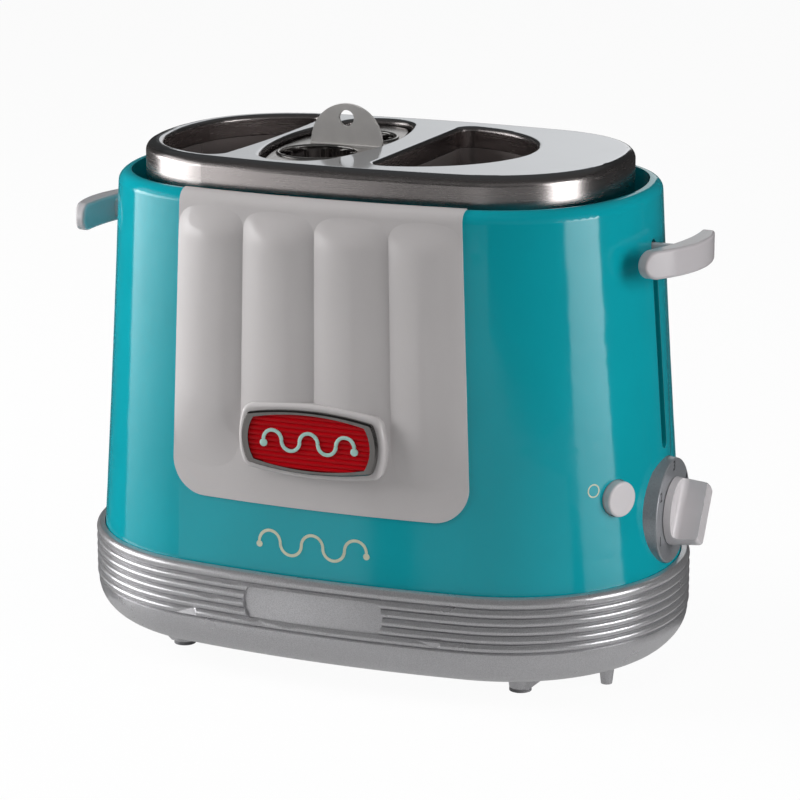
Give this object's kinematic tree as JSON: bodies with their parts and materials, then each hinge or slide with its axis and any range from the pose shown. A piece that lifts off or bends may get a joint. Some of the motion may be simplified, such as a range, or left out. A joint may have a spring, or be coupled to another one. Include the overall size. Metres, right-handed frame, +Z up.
{
  "type": "hot dog toaster",
  "caption": "Pop-up hot dog toaster with an oval shell, a fluted front panel, bun slots beside a lift-out sausage basket, end levers, a timer knob and a crumb tray.",
  "frame": {"origin": "middle of the whole box in plan, at the underside of the feet", "axes": "+X along the body to the dial end, +Y to the rear, +Z up"},
  "size_m": [0.2854, 0.1688, 0.2364],
  "materials": {
    "shell_teal": "gloss",
    "base_silver": "satin metallic paint",
    "dial_silver": "satin metallic paint",
    "panel_white": "gloss",
    "control_white": "satin",
    "badge_chrome": "polished",
    "badge_red": "gloss",
    "cover_steel": "brushed and polished",
    "inner_steel": "plain sheet",
    "chassis_steel": "plain sheet",
    "basket_steel": "polished",
    "rod_steel": "polished",
    "spring_steel": "polished",
    "screw_steel": "plain",
    "bush_brass": "plain",
    "mica": "matte",
    "heater_metal": "dull",
    "board_green": "matte",
    "electric_black": "matte",
    "magnet_iron": "dull",
    "foot_rubber": "matte",
    "tray_steel": "plain sheet"
  },
  "bodies": {
    "housing": {"base_tub": "base_silver", "foot_pads": "foot_rubber", "base_screws": "screw_steel", "body_shell": "shell_teal", "front_panel": "panel_white", "badge_frame": "badge_chrome", "badge_lens": "badge_red", "top_cover": "cover_steel", "bun_liner_left": "inner_steel", "bun_liner_right": "inner_steel", "sausage_liner": "inner_steel", "chassis_front": "chassis_steel", "chassis_rear": "chassis_steel", "chassis_left": "chassis_steel", "chassis_right": "chassis_steel", "guide_rods": "rod_steel", "heater_boards": "mica", "heater_ribbons": "heater_metal", "control_board": "board_green", "timer": "electric_black", "electromagnet": "magnet_iron", "button_switch": "electric_black", "dial_plate": "dial_silver", "cord_gland": "electric_black", "terminal_block": "electric_black", "return_springs": "spring_steel"},
    "carriage": {"lift_bar": "chassis_steel", "arm_right": "chassis_steel", "arm_left": "chassis_steel", "guide_bushes": "bush_brass", "bun_cradle_left": "inner_steel", "bun_cradle_right": "inner_steel", "basket_cradle": "inner_steel", "armature": "chassis_steel", "lever_right": "control_white", "lever_left": "control_white"},
    "basket": {"basket_plate": "basket_steel", "basket_wires_front": "basket_steel", "basket_wires_rear": "basket_steel", "basket_rings": "basket_steel", "basket_floors": "basket_steel", "basket_handle": "basket_steel"},
    "knob": {"timer_knob": "control_white", "timer_shaft": "rod_steel"},
    "button": {"cancel_button": "control_white"},
    "tray": {"crumb_tray": "tray_steel"}
  },
  "joints": [
    {"name": "lift", "type": "slide", "parent": "housing", "child": "carriage", "axis": [0, 0, -1], "range_m": [0, 0.078], "stiffness_N_per_m": 160, "springref_m": -0.03, "deforming": ["return_springs"]},
    {"name": "basket_lift_out", "type": "slide", "parent": "carriage", "child": "basket", "axis": [0, 0, 1], "range_m": [0, 0.11]},
    {"name": "timer_turn", "type": "hinge", "parent": "housing", "child": "knob", "pos_m": [0.12868, 0.00003, 0.0726], "axis": [1, 0, 0], "range_deg": [0, 270]},
    {"name": "cancel_push", "type": "slide", "parent": "housing", "child": "button", "axis": [-0.8829, 0.4695, 0], "range_m": [0, 0.0025], "stiffness_N_per_m": 400, "springref_m": -0.001},
    {"name": "tray_slide", "type": "slide", "parent": "housing", "child": "tray", "axis": [0, 1, 0], "range_m": [0, 0.125]}
  ]
}
